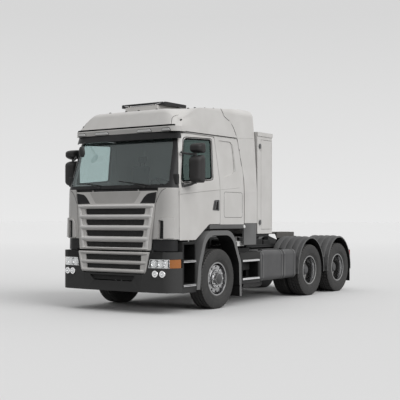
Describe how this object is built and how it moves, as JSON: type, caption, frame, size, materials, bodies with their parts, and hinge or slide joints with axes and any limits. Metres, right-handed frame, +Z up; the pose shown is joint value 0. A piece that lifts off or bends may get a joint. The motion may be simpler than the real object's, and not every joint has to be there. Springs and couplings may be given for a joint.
{
  "type": "semi truck tractor unit",
  "caption": "Three-axle semi truck tractor unit with a high sleeper cab, tilting cab, opening doors, steered front wheels, twin-tyred drive axles and a fifth wheel.",
  "frame": {"origin": "middle of the truck's bounding box, on the ground", "axes": "+X to the truck's left, +Y to its rear, +Z up"},
  "size_m": [3.03, 6.925, 3.6248],
  "materials": {
    "cab_paint": "satin",
    "dark_plastic": "matt",
    "black_plastic": "matt",
    "chassis_paint": "satin",
    "tank_paint": "satin",
    "tyre": "matt",
    "rim_aluminium": "polished",
    "rim_steel": "satin",
    "glass": "clear",
    "lamp_lens": "gloss",
    "tail_lens": "gloss",
    "trim_fabric": "matt",
    "dash_plastic": "matt",
    "cast_steel": "matt"
  },
  "bodies": {
    "chassis": {"chassis_frame": "chassis_paint", "engine_block": "cast_steel", "propshafts": "chassis_paint", "front_axle": "chassis_paint", "rear_bogie": "chassis_paint", "tanks": "tank_paint", "steps": "dark_plastic", "front_mudguards": "dark_plastic", "rear_mudguards": "dark_plastic", "tail_lamps": "tail_lens", "front_bumper": "dark_plastic", "bumper_grille": "cab_paint", "headlamps": "lamp_lens", "fifth_wheel_base": "cast_steel", "deck_plate": "chassis_paint", "tool_cabinet": "cab_paint"},
    "fifth_wheel": {"fifth_wheel": "cast_steel"},
    "cabinet_door": {"cabinet_door": "cab_paint"},
    "cab": {"cab_floor": "dark_plastic", "cab_front": "dark_plastic", "cab_sides": "cab_paint", "cab_back_wall": "cab_paint", "cab_roof": "cab_paint", "rear_fairing": "cab_paint", "windscreen": "glass", "sun_visor": "dark_plastic", "corner_panels": "cab_paint", "dashboard": "dash_plastic", "seats": "trim_fabric"},
    "steering_wheel": {"steering_wheel": "black_plastic"},
    "grille_flap": {"grille_flap": "cab_paint"},
    "roof_hatch": {"roof_hatch": "cab_paint"},
    "door_left": {"door_left": "cab_paint", "door_glass_left": "glass", "mirror_left": "black_plastic"},
    "door_right": {"door_right": "cab_paint", "door_glass_right": "glass", "mirror_right": "black_plastic"},
    "knuckle_left": {"knuckle_left": "cast_steel"},
    "knuckle_right": {"knuckle_right": "cast_steel"},
    "tie_rod": {"tie_rod": "cast_steel"},
    "wheel_front_left": {"tyre_front_left": "tyre", "rim_front_left": "rim_aluminium"},
    "wheels_axle_2_left": {"tyres_axle_2_left": "tyre", "rims_axle_2_left": "rim_steel"},
    "wheels_axle_3_left": {"tyres_axle_3_left": "tyre", "rims_axle_3_left": "rim_steel"},
    "wheel_front_right": {"tyre_front_right": "tyre", "rim_front_right": "rim_aluminium"},
    "wheels_axle_2_right": {"tyres_axle_2_right": "tyre", "rims_axle_2_right": "rim_steel"},
    "wheels_axle_3_right": {"tyres_axle_3_right": "tyre", "rims_axle_3_right": "rim_steel"}
  },
  "joints": [
    {"name": "cab_tilt", "type": "hinge", "parent": "chassis", "child": "cab", "pos_m": [0, -3.4325, 1.043], "axis": [1, 0, 0], "range_deg": [0, 60]},
    {"name": "steering_wheel_turn", "type": "hinge", "parent": "cab", "child": "steering_wheel", "pos_m": [0.55, -2.7325, 2.15], "axis": [0, 0.5299, 0.848], "range_deg": [-720, 720]},
    {"name": "grille_flap_lift", "type": "hinge", "parent": "cab", "child": "grille_flap", "pos_m": [0, -3.3705, 2.06], "axis": [-1, 0, 0], "range_deg": [0, 80]},
    {"name": "roof_hatch_lift", "type": "hinge", "parent": "cab", "child": "roof_hatch", "pos_m": [0, -2.6435, 3.585], "axis": [1, 0, 0], "range_deg": [0, 20]},
    {"name": "door_left_swing", "type": "hinge", "parent": "cab", "child": "door_left", "pos_m": [1.204, -3.1715, 1.7], "axis": [0, 0, -1], "range_deg": [0, 75]},
    {"name": "door_right_swing", "type": "hinge", "parent": "cab", "child": "door_right", "pos_m": [-1.204, -3.1715, 1.7], "axis": [0, 0, 1], "range_deg": [0, 75]},
    {"name": "cabinet_door_swing", "type": "hinge", "parent": "chassis", "child": "cabinet_door", "pos_m": [1.194, -0.5135, 2.2], "axis": [0, 0, -1], "range_deg": [0, 110]},
    {"name": "fifth_wheel_rock", "type": "hinge", "parent": "chassis", "child": "fifth_wheel", "pos_m": [0, 1.7725, 1.18], "axis": [1, 0, 0], "range_deg": [-12, 12]},
    {"name": "steer_left", "type": "hinge", "parent": "chassis", "child": "knuckle_left", "pos_m": [0.9, -1.9875, 0.525], "axis": [0, 0, 1], "range_deg": [-40, 40]},
    {"name": "steer_right", "type": "hinge", "parent": "chassis", "child": "knuckle_right", "pos_m": [-0.9, -1.9875, 0.525], "axis": [0, 0, 1], "range_deg": [-40, 40]},
    {"name": "tie_rod_pivot", "type": "hinge", "parent": "knuckle_left", "child": "tie_rod", "pos_m": [0.9, -1.7975, 0.408], "axis": [0, 0, 1], "range_deg": [-40, 40]},
    {"name": "front_wheel_left_spin", "type": "hinge", "parent": "knuckle_left", "child": "wheel_front_left", "pos_m": [1.04, -1.9875, 0.525], "axis": [1, 0, 0], "continuous": true},
    {"name": "front_wheel_right_spin", "type": "hinge", "parent": "knuckle_right", "child": "wheel_front_right", "pos_m": [-1.04, -1.9875, 0.525], "axis": [1, 0, 0], "continuous": true},
    {"name": "axle_2_wheels_left_spin", "type": "hinge", "parent": "chassis", "child": "wheels_axle_2_left", "pos_m": [0.9175, 1.4125, 0.525], "axis": [1, 0, 0], "continuous": true},
    {"name": "axle_2_wheels_right_spin", "type": "hinge", "parent": "chassis", "child": "wheels_axle_2_right", "pos_m": [-0.9175, 1.4125, 0.525], "axis": [1, 0, 0], "continuous": true},
    {"name": "axle_3_wheels_left_spin", "type": "hinge", "parent": "chassis", "child": "wheels_axle_3_left", "pos_m": [0.9175, 2.7225, 0.525], "axis": [1, 0, 0], "continuous": true},
    {"name": "axle_3_wheels_right_spin", "type": "hinge", "parent": "chassis", "child": "wheels_axle_3_right", "pos_m": [-0.9175, 2.7225, 0.525], "axis": [1, 0, 0], "continuous": true}
  ],
  "couplings": [
    {"joint": "steer_right", "follows": "steer_left", "ratio": 1},
    {"joint": "tie_rod_pivot", "follows": "steer_left", "ratio": -1},
    {"joint": "steering_wheel_turn", "follows": "steer_left", "ratio": 18}
  ]
}
